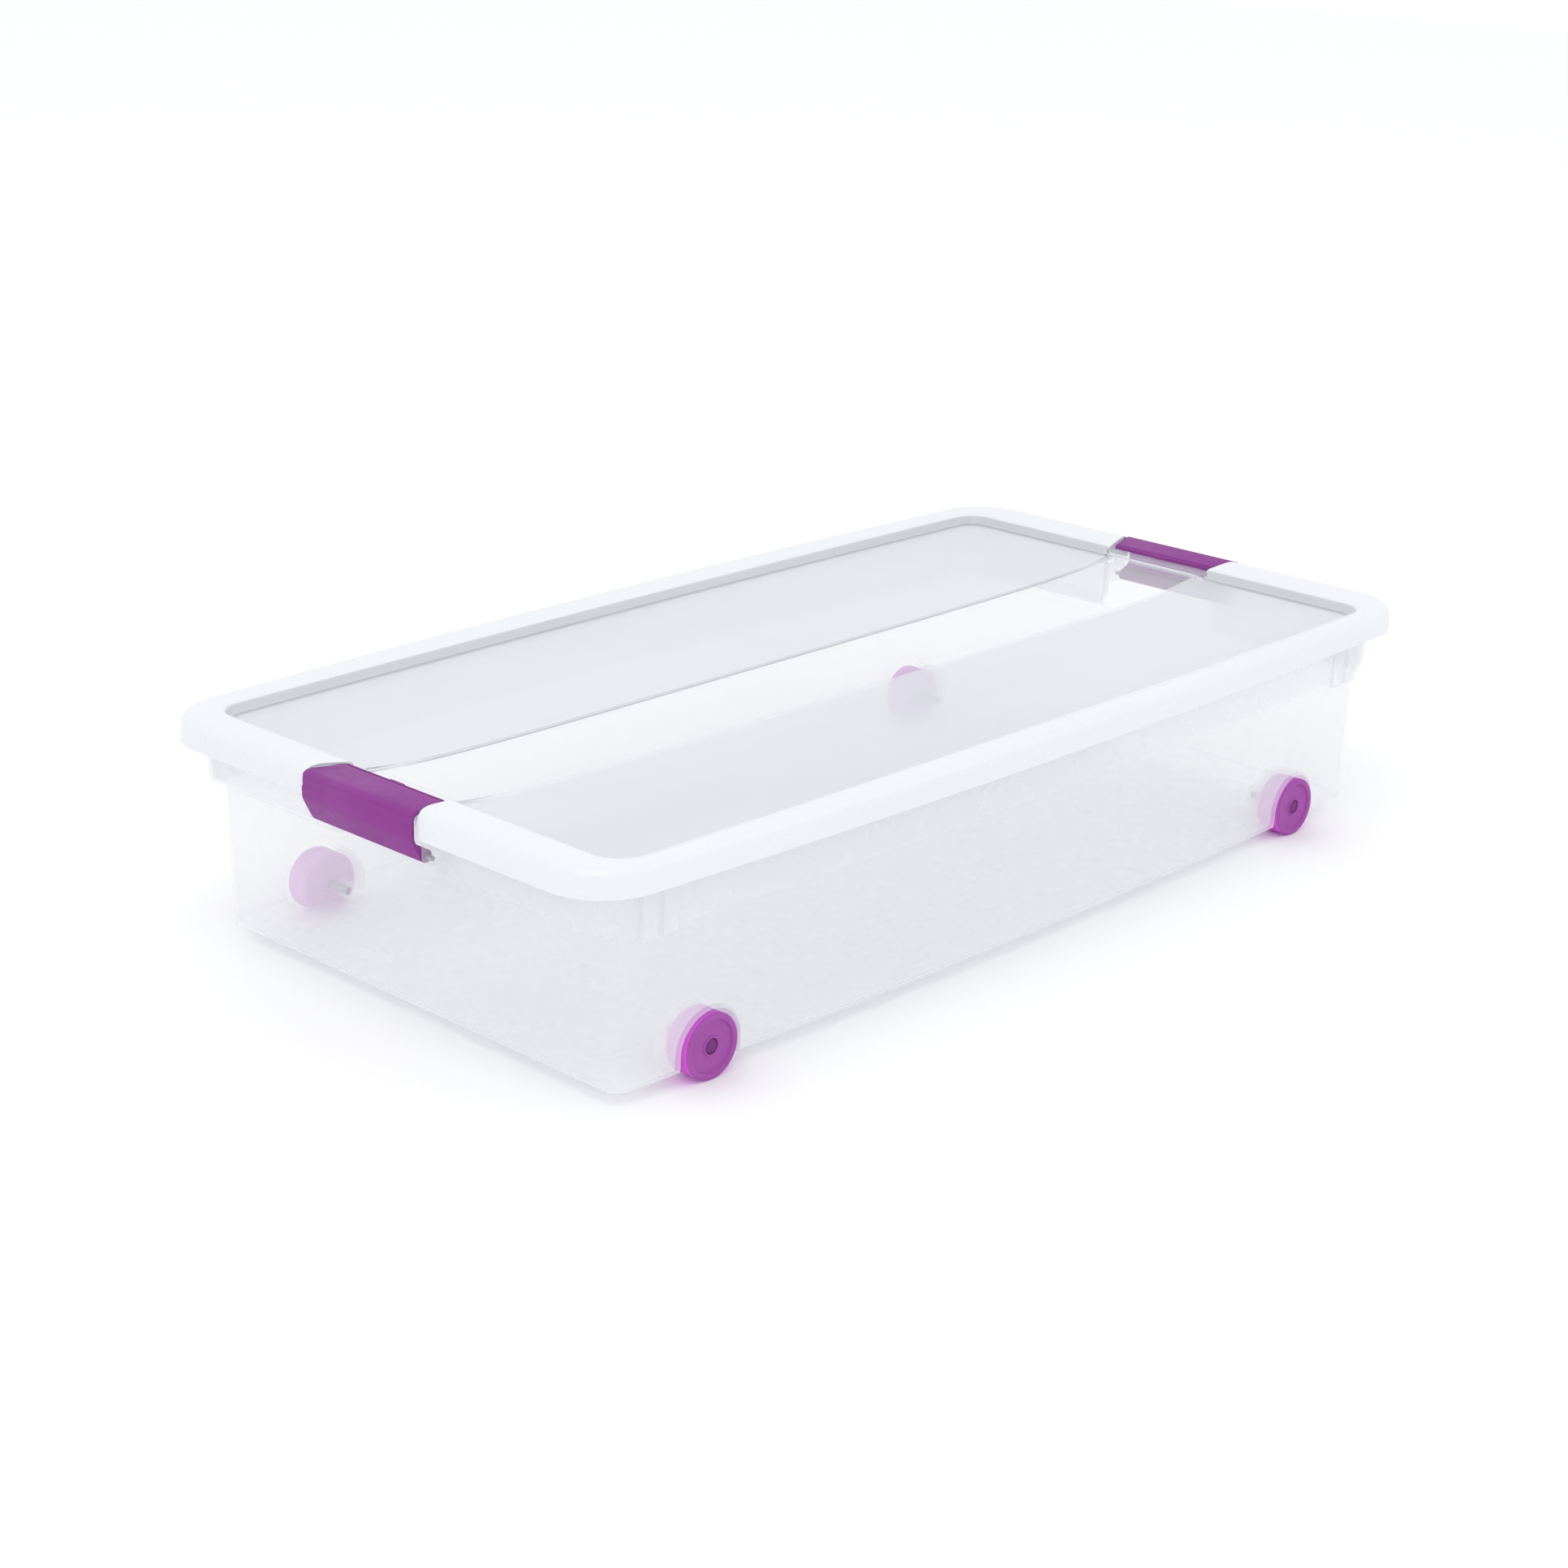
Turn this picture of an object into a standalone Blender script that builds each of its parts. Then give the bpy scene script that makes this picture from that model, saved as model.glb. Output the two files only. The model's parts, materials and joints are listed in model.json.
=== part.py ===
"""Wheeled under-bed storage box: a clear tub on four wheels, a lift-off lid and two end latches.

X runs along the length, Y across the width and Z up from the floor that the wheels stand on.
Sizes are in millimetres, heights are measured from the underside of the tub, and to_world()
turns both into metres above the floor.
"""
import math
from collections import namedtuple

import bmesh
import bpy
from mathutils import Matrix, Vector

MM = 0.001

# Driving dimensions
LID_LENGTH = 886.0
LID_WIDTH = 476.0           # across the middle, where the long sides bow out
WHEEL_RADIUS = 23.0
AXLE_HEIGHT = 12.5          # wheel axis above the underside of the tub
GROUND_CLEARANCE = WHEEL_RADIUS - AXLE_HEIGHT
TUB_WALL = 2.4
LID_WALL = 2.2
PLAY = 0.3                  # running clearance of every pin in its bore

# Sections of the tub and lid
HALF_LENGTH = LID_LENGTH / 2
HALF_WIDTH = LID_WIDTH / 2
ARC_SEGMENTS = 4
SIDE_SEGMENTS = 5
POCKET_HALF = 55.0          # half-width of the recess behind each latch
POCKET_EDGE = 60.0          # where the recess has come out to the end wall again
POCKET_X = 411.0
POCKET_TOP = 144.0

# Lid panel
PANEL_X = 403.0
PANEL_Y = 201.0
PANEL_MIDDLE = 148.0
PANEL_EDGE = 154.0
BAND_HALF = 45.5

# Latch and its seat
PIN_X = 434.0
PIN_Z = 130.0
PIN_RADIUS = 1.7
BARREL_RADIUS = 4.5
LATCH_HALF = 56.0
LATCH_TIP_HALF = 48.5
LATCH_TIP_X = 412.0
LATCH_TAPER_X = 438.0
LATCH_WALL = 2.6
NUB_HALF = 7.0              # the finger nub in the middle of the lip
NUB_REACH = 1.6
LUG_INNER = 57.3
LUG_OUTER = 62.5
LUG_RADIUS = 5.0
RIM_CUT_HALF = 61.5
RIM_CUT_HEIGHT = 154.7
NOTCH_HALF = 58.0           # half-width of the lid's notch at the skirt
NOTCH_INNER_X = 403.3
NOTCH_SLOPE = 0.2           # how fast the notch narrows inward
CHEEK = 2.0
LEDGE_HALF = 52.0
LEDGE_TOP = 157.6
LEDGE_UNDER = 155.2
LEDGE_END_X = 420.0

# Wheels and their housings
WHEEL_X = 326.0
WHEEL_FACE_Y = 207.5
AXLE_RADIUS = 3.0
WELL_RADIUS = 26.0
WELL_Y = 185.0
BOSS_RADIUS = 7.0
BOSS_Y = 165.0
PIN_LENGTH = 41.0
WHEEL_WEB = 17.0            # thickness of a wheel between its rim and its hub
ROUND_STEPS = 32

# Corner ribs
RIB_CENTRES = (367.0, 385.5)
RIB_WIDTH = 12.0
RIB_FACE_Y = 211.5
RIB_BOTTOM = 105.0
RIB_TOP = 147.0

Section = namedtuple("Section", "inset_x inset_y bow radius z")

# Outer and under surface of the tub, from the floor up the wall, out along the rim and down its lip
TUB_SECTIONS = (
    Section(41.0, 30.4, 9.6, 9.0, 0.0),
    Section(38.0, 27.4, 9.6, 11.5, 1.2),
    Section(37.0, 26.4, 9.6, 12.5, 4.0),
    Section(33.5, 22.9, 9.6, 14.0, 106.0),
    Section(31.5, 22.8, 9.6, 14.0, 108.0),
    Section(24.5, 22.8, 9.6, 14.0, 111.5),
    Section(22.4, 22.7, 9.6, 14.5, 115.0),
    Section(20.5, 21.0, 10.0, 17.0, 143.0),
    Section(19.5, 15.5, 10.0, 22.0, 147.5),
    Section(19.0, 15.0, 10.0, 23.0, 155.0),
    Section(18.0, 13.8, 10.2, 24.0, 157.3),
    Section(15.5, 11.5, 10.5, 27.0, 157.8),
    Section(11.5, 9.0, 11.5, 32.0, 157.6),
    Section(8.4, 7.5, 12.0, 36.0, 155.6),
    Section(7.8, 7.0, 12.0, 37.0, 149.5),
)

# Top surface of the lid, from the lower edge of the skirt over the crown to the panel
LID_SECTIONS = (
    Section(0.0, 0.0, 13.0, 43.0, 144.0),
    Section(0.4, 1.0, 13.0, 42.6, 155.0),
    Section(1.5, 2.0, 13.0, 41.5, 159.5),
    Section(5.0, 5.2, 13.0, 39.0, 162.6),
    Section(11.0, 10.0, 12.0, 34.0, 163.5),
    Section(31.0, 22.2, 7.0, 24.0, 161.2),
    Section(34.5, 26.1, 5.6, 20.5, 160.2),
    Section(36.2, 27.9, 5.3, 19.0, 158.6),
    Section(37.4, 29.2, 5.0, 18.0, 155.2),
)
# The panel's own sections take their height from panel_height()
PANEL_SECTIONS = (
    Section(40.0, 31.5, 5.0, 16.0, None),
    Section(46.0, 37.5, 4.5, 14.0, None),
    Section(73.0, 65.0, 3.0, 12.0, None),
    Section(123.0, 111.0, 2.0, 12.0, None),
    Section(203.0, 157.0, 1.0, 12.0, None),
)
PANEL_CORE = Section(323.0, 208.0, 0.0, 10.0, PANEL_MIDDLE + 0.05)

PURPLE = (0.235, 0.055, 0.255)
CLEAR = (0.86, 0.88, 0.92)
STEEL = (0.55, 0.55, 0.57)


def to_world(x, y, z):
    """A point in metres above the floor, from millimetres above the underside of the tub."""
    return Vector((x, y, z + GROUND_CLEARANCE)) * MM


def panel_height(x, y):
    """The panel dishes: flat along its middle, rising to its edges."""
    along = 1 - (x / PANEL_X) ** 6
    across = 1 - (y / PANEL_Y) ** 2
    return PANEL_MIDDLE + (PANEL_EDGE - PANEL_MIDDLE) * (1 - along * across)


def quarter(section, pocket_x):
    """Points of a quarter of a section, from the middle of the +X end to the middle of the +Y side."""
    half_x = HALF_LENGTH - section.inset_x
    half_y = HALF_WIDTH - section.inset_y - section.bow
    corner_x = half_x - section.radius
    corner_y = half_y - section.radius
    # On the panel's inner sections the end is too short for the full recess
    squeeze = min(1.0, 0.9 * corner_y / POCKET_EDGE)
    recess_x = min(half_x, pocket_x)
    points = [(recess_x, 0.0), (recess_x, POCKET_HALF * squeeze), (half_x, POCKET_EDGE * squeeze)]
    for step in range(ARC_SEGMENTS + 1):
        angle = math.pi / 2 * step / ARC_SEGMENTS
        x = corner_x + section.radius * math.cos(angle)
        y = corner_y + section.radius * math.sin(angle)
        points.append((x, y))
    for step in range(SIDE_SEGMENTS - 1, -1, -1):
        points.append((corner_x * step / SIDE_SEGMENTS, half_y))
    return [(x, y + section.bow * max(0.0, 1 - (x / half_x) ** 2)) for x, y in points]


def ring(section, pocket_x=HALF_LENGTH):
    """A whole section, anticlockwise from above, as points in metres."""
    first = quarter(section, pocket_x)
    back = list(reversed(first))
    points = first[:-1]
    points += [(-x, y) for x, y in back[:-1]]
    points += [(-x, -y) for x, y in first[:-1]]
    points += [(x, -y) for x, y in back[:-1]]
    if section.z is None:
        return [to_world(x, y, panel_height(x, y)) for x, y in points]
    return [to_world(x, y, section.z) for x, y in points]


def new_object(name, mesh, collection):
    obj = bpy.data.objects.new(name, mesh)
    collection.objects.link(obj)
    return obj


def loft(name, rings, collection, cap_first=False, cap_last=False):
    """A surface through closed rings, whose faces point right of the way from first to last."""
    bm = bmesh.new()
    loops = [[bm.verts.new(point) for point in points] for points in rings]
    for lower, upper in zip(loops, loops[1:]):
        for i in range(len(lower)):
            j = (i + 1) % len(lower)
            bm.faces.new((lower[i], lower[j], upper[j], upper[i]))
    if cap_first:
        bm.faces.new(list(reversed(loops[0])))
    if cap_last:
        bm.faces.new(loops[-1])
    mesh = bpy.data.meshes.new(name)
    bm.to_mesh(mesh)
    bm.free()
    return new_object(name, mesh, collection)


def prism(name, outline, start, end, collection, upright=True, shear=0.0):
    """A flat outline given depth: an XZ outline runs in Y from start to end, an XY one in Z."""
    curve = bpy.data.curves.new(name, "CURVE")
    curve.dimensions = "2D"
    curve.fill_mode = "BOTH"
    curve.extrude = (end - start) / 2 * MM
    spline = curve.splines.new("POLY")
    spline.points.add(len(outline) - 1)
    spline.use_cyclic_u = True
    for point, (u, v) in zip(spline.points, outline):
        point.co = (u * MM, v * MM, 0, 1)
    drawn = new_object(name + "_outline", curve, collection)
    middle = (start + end) / 2
    if upright:
        place = Matrix.Translation(to_world(0, middle, 0)) @ Matrix.Rotation(math.pi / 2, 4, "X")
    else:
        place = Matrix.Translation(to_world(0, 0, middle))
    lean = Matrix.Identity(4)
    lean[1][0] = shear
    mesh = bpy.data.meshes.new_from_object(drawn.evaluated_get(bpy.context.evaluated_depsgraph_get()))
    mesh.transform(lean @ place)
    bpy.data.objects.remove(drawn)
    bm = bmesh.new()
    bm.from_mesh(mesh)
    bmesh.ops.remove_doubles(bm, verts=bm.verts, dist=1e-6)
    bmesh.ops.recalc_face_normals(bm, faces=bm.faces)
    bm.to_mesh(mesh)
    bm.free()
    mesh.name = name
    mesh.materials.clear()
    return new_object(name, mesh, collection)


def rod(name, radius, start, end, x, z, collection, steps=24):
    """A cylinder along Y."""
    bm = bmesh.new()
    turn = Matrix.Rotation(math.pi / 2, 4, "X") @ Matrix.Rotation(math.pi / steps, 4, "Z")
    place = Matrix.Translation(to_world(x, (start + end) / 2, z)) @ turn
    bmesh.ops.create_cone(bm, cap_ends=True, segments=steps, radius1=radius * MM, radius2=radius * MM,
                          depth=(end - start) * MM, matrix=place)
    mesh = bpy.data.meshes.new(name)
    bm.to_mesh(mesh)
    bm.free()
    return new_object(name, mesh, collection)


def turned(name, profile, collection, closed):
    """A body of revolution about local Z from (radius, height) points that run down its outer side."""
    bm = bmesh.new()
    verts = [bm.verts.new((radius * MM, 0, height * MM)) for radius, height in profile]
    for first, second in zip(verts, verts[1:]):
        bm.edges.new((first, second))
    if closed:
        bm.edges.new((verts[-1], verts[0]))
    mesh = bpy.data.meshes.new(name)
    bm.to_mesh(mesh)
    bm.free()
    obj = new_object(name, mesh, collection)
    screw = obj.modifiers.new("turn", "SCREW")
    screw.axis = "Z"
    screw.steps = ROUND_STEPS
    screw.render_steps = ROUND_STEPS
    screw.use_merge_vertices = True
    screw.merge_threshold = 0.00001
    screw.use_smooth_shade = True
    return obj


def thicken(obj, thickness):
    solidify = obj.modifiers.new("wall", "SOLIDIFY")
    solidify.thickness = thickness * MM
    solidify.offset = -1
    solidify.use_even_offset = True
    solidify.use_quality_normals = True
    obj.modifiers.new("flat_faces", "TRIANGULATE")


def mirrored(obj, in_x, in_y):
    mirror = obj.modifiers.new("mirror", "MIRROR")
    mirror.use_axis[0] = in_x
    mirror.use_axis[1] = in_y
    mirror.merge_threshold = 0.0001
    return obj


def combine(target, operand, operation):
    boolean = target.modifiers.new(operand.name, "BOOLEAN")
    boolean.operation = operation
    boolean.solver = "EXACT"
    boolean.object = operand
    operand.hide_render = True
    operand.display_type = "WIRE"


def material(name, colour, roughness, metallic=0.0, transmission=0.0):
    made = bpy.data.materials.new(name)
    made.use_nodes = True
    shader = made.node_tree.nodes["Principled BSDF"]
    shader.inputs["Base Color"].default_value = (*colour, 1)
    shader.inputs["Roughness"].default_value = roughness
    shader.inputs["Metallic"].default_value = metallic
    shader.inputs["Transmission Weight"].default_value = transmission
    made.diffuse_color = (*colour, 1)
    return made


def arc(centre_x, centre_z, radius, start, end, steps):
    """Points of an arc in degrees, both ends included."""
    angles = [math.radians(start + (end - start) * step / steps) for step in range(steps + 1)]
    return [(centre_x + radius * math.cos(angle), centre_z + radius * math.sin(angle)) for angle in angles]


def arch(radius, bottom):
    """The D-shaped outline of a wheel housing, round over the axle and straight down from it."""
    sides = [(WHEEL_X - radius, bottom), (WHEEL_X + radius, bottom)]
    return sides + arc(WHEEL_X, AXLE_HEIGHT, radius, 0, 180, 16)


def tub_core(cutters):
    """The space inside the tub out to the middle of its wall, which trims what is added to the wall."""
    inset = TUB_WALL / 2
    low = TUB_SECTIONS[2]
    high = TUB_SECTIONS[3]
    core = []
    for section, z in ((low, inset), (low, low.z), (high, high.z)):
        core.append(ring(Section(section.inset_x + inset, section.inset_y + inset, section.bow,
                                 section.radius - inset, z)))
    return loft("tub_core", core, cutters, cap_first=True, cap_last=True)


def make_housings(tub, cutters):
    """Wheel housings moulded into the floor and side walls, with a boss for each axle pin."""
    housing = prism("housing", arch(WELL_RADIUS + TUB_WALL, -5.0), WELL_Y - TUB_WALL, 230.0, cutters)
    mirrored(housing, True, True)
    combine(housing, tub_core(cutters), "INTERSECT")
    combine(tub, housing, "UNION")
    boss = rod("boss", BOSS_RADIUS, BOSS_Y, WELL_Y - TUB_WALL / 2, WHEEL_X, AXLE_HEIGHT, cutters)
    combine(tub, mirrored(boss, True, True), "UNION")
    well = mirrored(prism("well", arch(WELL_RADIUS, -10.0), WELL_Y, 240.0, cutters), True, True)
    combine(tub, well, "DIFFERENCE")
    bore = rod("axle_bore", AXLE_RADIUS + PLAY, BOSS_Y - 5, WELL_Y + 5, WHEEL_X, AXLE_HEIGHT, cutters)
    combine(tub, mirrored(bore, True, True), "DIFFERENCE")


def make_ribs(tub, cutters):
    """Two upright ribs beside each corner, on the long sides under the rim."""
    for number, centre in enumerate(RIB_CENTRES):
        left = centre - RIB_WIDTH / 2
        right = centre + RIB_WIDTH / 2
        side = HALF_WIDTH - TUB_SECTIONS[3].inset_y - TUB_SECTIONS[3].bow
        # The root stays within the thickness of the wall, which curves in towards the corner
        plan = [(left, side), (right, side - 1), (right, RIB_FACE_Y), (left, RIB_FACE_Y)]
        rib = prism(f"rib_{number}", plan, RIB_BOTTOM, RIB_TOP, cutters, upright=False)
        combine(tub, mirrored(rib, True, True), "UNION")


def make_lugs(tub, cutters):
    """A pair of lugs at each end, which hold the ends of the latch pin."""
    top = RIM_CUT_HEIGHT - 5
    outline = arc(PIN_X, PIN_Z, LUG_RADIUS, -90, 0, 6)
    outline += [(PIN_X + LUG_RADIUS, top), (422.5, top), (421.3, 143.0), (420.1, PIN_Z - LUG_RADIUS)]
    lug = prism("lug", outline, LUG_INNER, LUG_OUTER, cutters)
    bore = rod("lug_bore", PIN_RADIUS + PLAY, LUG_INNER - 1, LUG_OUTER + 1, PIN_X, PIN_Z, cutters)
    combine(lug, bore, "DIFFERENCE")
    combine(tub, mirrored(lug, True, True), "UNION")


def make_tub(parts, cutters):
    rings = []
    for section in TUB_SECTIONS:
        recess = POCKET_X if section.z < POCKET_TOP else HALF_LENGTH
        rings.append(ring(section, recess))
    tub = loft("tub", rings, parts, cap_first=True)
    thicken(tub, TUB_WALL)
    make_housings(tub, cutters)
    make_ribs(tub, cutters)
    make_lugs(tub, cutters)
    plan = [(400.0, -RIM_CUT_HALF), (460.0, -RIM_CUT_HALF), (460.0, RIM_CUT_HALF), (400.0, RIM_CUT_HALF)]
    gap = prism("rim_gap", plan, RIM_CUT_HEIGHT, 175.0, cutters, upright=False)
    combine(tub, mirrored(gap, True, False), "DIFFERENCE")
    tub.data.materials.append(material("clear_plastic_tub", CLEAR, 0.25, transmission=0.8))


def notch_half(x):
    return NOTCH_HALF + NOTCH_SLOPE * (x - HALF_LENGTH)


def make_lid(parts, cutters):
    rings = [ring(section) for section in LID_SECTIONS + PANEL_SECTIONS + (PANEL_CORE,)]
    lid = loft("lid", rings, parts, cap_last=True)
    thicken(lid, LID_WALL)
    outer_x = 455.0
    plan = [(NOTCH_INNER_X, -notch_half(NOTCH_INNER_X)), (outer_x, -notch_half(outer_x)),
            (outer_x, notch_half(outer_x)), (NOTCH_INNER_X, notch_half(NOTCH_INNER_X))]
    notch = prism("latch_notch", plan, 140.0, 175.0, cutters, upright=False)
    combine(lid, mirrored(notch, True, False), "DIFFERENCE")
    cheek_outline = [(405.2, LEDGE_UNDER), (441.2, LEDGE_UNDER), (440.3, 159.3), (437.4, 161.7),
                     (432.0, 162.4), (412.0, 160.1), (408.8, 159.0), (406.6, 157.0)]
    start = NOTCH_HALF - NOTCH_SLOPE * HALF_LENGTH - PLAY
    cheek = prism("notch_cheek", cheek_outline, start, start + CHEEK, cutters, shear=NOTCH_SLOPE)
    combine(lid, mirrored(cheek, True, True), "UNION")
    ledge_outline = [(401.0, 152.5), (403.2, 152.5), (403.2, LEDGE_UNDER), (418.0, LEDGE_UNDER),
                     (418.0, 152.0), (LEDGE_END_X, 152.0), (LEDGE_END_X, LEDGE_TOP), (401.0, LEDGE_TOP)]
    ledge = prism("ledge", ledge_outline, -LEDGE_HALF, LEDGE_HALF, cutters)
    combine(lid, mirrored(ledge, True, False), "UNION")
    ramp_top = LEDGE_TOP - 0.1
    ramp_outline = [(345.0, 149.3), (360.0, 149.9), (380.0, 151.1), (402.0, 152.8), (402.0, ramp_top),
                    (395.0, 156.7), (380.0, 154.4), (360.0, 151.9)]
    ramp = prism("ramp", ramp_outline, -BAND_HALF, BAND_HALF, cutters)
    combine(lid, mirrored(ramp, True, False), "UNION")
    lid.data.materials.append(material("clear_plastic_lid", CLEAR, 0.2, transmission=0.8))


def latch_outline():
    """Side view of a latch: lip, rounded shoulder, upright face, slanted foot and hinge barrel."""
    shoulder_x = 440.0
    shoulder_z = 156.0
    face_x = 446.0
    outside = [(LATCH_TIP_X, 160.8), (426.0, 161.5)]
    outside += arc(shoulder_x, shoulder_z, face_x - shoulder_x, 90, 0, 5)
    outside += [(face_x, 145.0), (444.9, 141.2), (441.4, 134.2), (439.6, 130.6)]
    barrel = arc(PIN_X, PIN_Z, BARREL_RADIUS, -24, -260, 12)
    inner = face_x - shoulder_x - LATCH_WALL
    inside = [(437.8, 136.0), (441.6, 139.2), (face_x - LATCH_WALL, 143.5)]
    inside += arc(shoulder_x, shoulder_z, inner, 0, 90, 4)
    inside += [(426.0, 158.7), (LATCH_TIP_X, 158.0)]
    return outside + barrel + inside


def make_latch(name, side, parts, cutters):
    """A latch on its hinge line; side is +1 at the +X end and -1 at the -X end."""
    body = prism(name, latch_outline(), -LATCH_HALF, LATCH_HALF, parts)
    bore = rod(name + "_bore", PIN_RADIUS + PLAY, -LATCH_HALF - 2, LATCH_HALF + 2, PIN_X, PIN_Z, cutters)
    slope = (LATCH_HALF - LATCH_TIP_HALF) / (LATCH_TAPER_X - LATCH_TIP_X)
    plan = [(LATCH_TIP_X - 10, LATCH_TIP_HALF - 10 * slope), (LATCH_TAPER_X + 10, LATCH_HALF + 10 * slope),
            (LATCH_TAPER_X + 10, LATCH_HALF + 10), (LATCH_TIP_X - 10, LATCH_HALF + 10)]
    taper = mirrored(prism(name + "_taper", plan, 150.0, 170.0, cutters, upright=False), False, True)
    nub_outline = [(LATCH_TIP_X - NUB_REACH, 158.4), (LATCH_TIP_X + 4, 159.2), (LATCH_TIP_X + 4, 160.4),
                   (LATCH_TIP_X - NUB_REACH, 160.2)]
    nub = prism(name + "_nub", nub_outline, -NUB_HALF, NUB_HALF, cutters)
    turn = Matrix.Rotation(0 if side > 0 else math.pi, 4, "Z")
    pivot = to_world(PIN_X, 0, PIN_Z)
    for piece in (body, bore, taper, nub):
        piece.data.transform(turn)
    body.data.transform(Matrix.Translation(-(turn @ pivot)))
    body.location = turn @ pivot
    combine(body, taper, "DIFFERENCE")
    combine(body, nub, "UNION")
    combine(body, bore, "DIFFERENCE")
    body.data.materials.append(material("purple_" + name, PURPLE, 0.35))


def make_latch_pin(name, side, parts):
    length = 2 * (LUG_OUTER - 0.2)
    profile = [(0.0, length / 2), (PIN_RADIUS, length / 2), (PIN_RADIUS, -length / 2), (0.0, -length / 2)]
    pin = turned(name, profile, parts, closed=False)
    pin.location = to_world(side * PIN_X, 0, PIN_Z)
    pin.rotation_euler = (math.pi / 2, 0, 0)
    pin.data.materials.append(material("steel_" + name, STEEL, 0.3, metallic=1.0))


def wheel_profile():
    """Half section of a wheel; height 0 is its outer face and the wheel lies below it."""
    bore = AXLE_RADIUS + PLAY
    tread = WHEEL_RADIUS
    return [(bore, -3.0), (5.6, -3.0), (5.6, -0.8), (6.8, -0.8), (7.2, -2.0), (17.8, -2.0), (18.6, 0.0),
            (tread - 1.2, 0.0), (tread, -1.2), (tread, -19.4), (tread - 0.8, -20.2), (tread - 3.2, -20.2),
            (tread - 3.6, -WHEEL_WEB), (7.6, -WHEEL_WEB), (6.8, -22.0), (bore, -22.0)]


def axle_profile():
    """Half section of an axle pin, whose head sits in the hub of the wheel."""
    return [(0.0, -0.9), (4.6, -0.9), (5.2, -1.4), (5.2, -2.6), (AXLE_RADIUS, -2.6),
            (AXLE_RADIUS, -PIN_LENGTH + 0.6), (AXLE_RADIUS - 0.6, -PIN_LENGTH), (0.0, -PIN_LENGTH)]


def make_wheel(corner, side_x, side_y, parts):
    place = to_world(side_x * WHEEL_X, side_y * WHEEL_FACE_Y, AXLE_HEIGHT)
    face_out = (-side_y * math.pi / 2, 0, 0)
    for name, profile, closed in (("wheel_" + corner, wheel_profile(), True),
                                  ("axle_pin_" + corner, axle_profile(), False)):
        piece = turned(name, profile, parts, closed)
        piece.location = place
        piece.rotation_euler = face_out
        piece.data.materials.append(material("purple_" + name, PURPLE, 0.4))


def main():
    for obj in list(bpy.data.objects):
        bpy.data.objects.remove(obj)
    parts = bpy.data.collections.new("under_bed_box")
    cutters = bpy.data.collections.new("cutters")
    bpy.context.scene.collection.children.link(parts)
    bpy.context.scene.collection.children.link(cutters)
    make_tub(parts, cutters)
    make_lid(parts, cutters)
    for end, side in (("left", -1), ("right", 1)):
        make_latch("latch_" + end, side, parts, cutters)
        make_latch_pin("latch_pin_" + end, side, parts)
        for depth, side_y in (("front", -1), ("back", 1)):
            make_wheel(f"{depth}_{end}", side, side_y, parts)


main()
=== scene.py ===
import json
import math
from collections import namedtuple

import bmesh
import bpy
from mathutils import Matrix, Vector

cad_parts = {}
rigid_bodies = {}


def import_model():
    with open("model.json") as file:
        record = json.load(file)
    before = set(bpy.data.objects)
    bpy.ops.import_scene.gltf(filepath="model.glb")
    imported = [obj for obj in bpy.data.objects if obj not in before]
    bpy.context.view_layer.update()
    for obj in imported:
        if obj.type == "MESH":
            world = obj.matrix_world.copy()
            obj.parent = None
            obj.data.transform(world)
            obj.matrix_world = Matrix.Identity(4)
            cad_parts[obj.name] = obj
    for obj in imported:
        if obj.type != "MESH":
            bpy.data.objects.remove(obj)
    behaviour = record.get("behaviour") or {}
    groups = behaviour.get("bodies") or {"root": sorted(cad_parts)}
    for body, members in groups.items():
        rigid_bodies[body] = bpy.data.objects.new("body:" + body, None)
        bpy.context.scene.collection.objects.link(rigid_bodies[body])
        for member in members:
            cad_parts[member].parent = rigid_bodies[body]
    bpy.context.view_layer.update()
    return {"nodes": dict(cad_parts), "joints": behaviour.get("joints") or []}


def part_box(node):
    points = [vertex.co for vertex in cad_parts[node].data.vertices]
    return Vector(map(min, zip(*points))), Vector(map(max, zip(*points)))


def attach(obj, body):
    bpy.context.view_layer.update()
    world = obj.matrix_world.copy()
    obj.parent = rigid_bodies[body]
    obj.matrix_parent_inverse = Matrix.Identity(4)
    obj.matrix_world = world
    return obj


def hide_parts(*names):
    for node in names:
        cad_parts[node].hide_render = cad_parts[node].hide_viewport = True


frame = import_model()

MM = 0.001

# Sizes taken from the frame, in millimetres; heights in this script are above the underside of the tub
LID_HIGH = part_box("lid")[1]
TUB_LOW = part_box("tub")[0]
JOINTS = {joint["name"]: joint for joint in frame["joints"]}
HALF_LENGTH = LID_HIGH.x / MM
HALF_WIDTH = LID_HIGH.y / MM
GROUND_CLEARANCE = TUB_LOW.z / MM
PIN_X = JOINTS["latch_right_hinge"]["pos_m"][0] / MM
PIN_Z = JOINTS["latch_right_hinge"]["pos_m"][2] / MM - GROUND_CLEARANCE
WHEEL_X = JOINTS["wheel_front_right_spin"]["pos_m"][0] / MM
AXLE_HEIGHT = JOINTS["wheel_front_right_spin"]["pos_m"][2] / MM - GROUND_CLEARANCE
WHEEL_FACE_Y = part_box("wheel_back_right")[1].y / MM
WHEEL_RADIUS = AXLE_HEIGHT + GROUND_CLEARANCE

# Walls and clearances
TUB_WALL = 2.4
LID_WALL = 2.2
PLAY = 0.3

# How finely a section is divided, per quarter
CORNER_STEPS = 10
END_STOPS = (0.0, 12.0, 24.0, 36.0, 43.9, 44.8, 45.7, 46.6, 55.0, 60.0, 80.0, 105.0, 130.0, 155.0, 172.0)
SIDE_STOPS = (0.0, 40.0, 80.0, 120.0, 160.0, 200.0, 235.0, 265.0, 290.0, 310.0, 325.0, 340.0, 352.0, 364.0,
              376.0)

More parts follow.
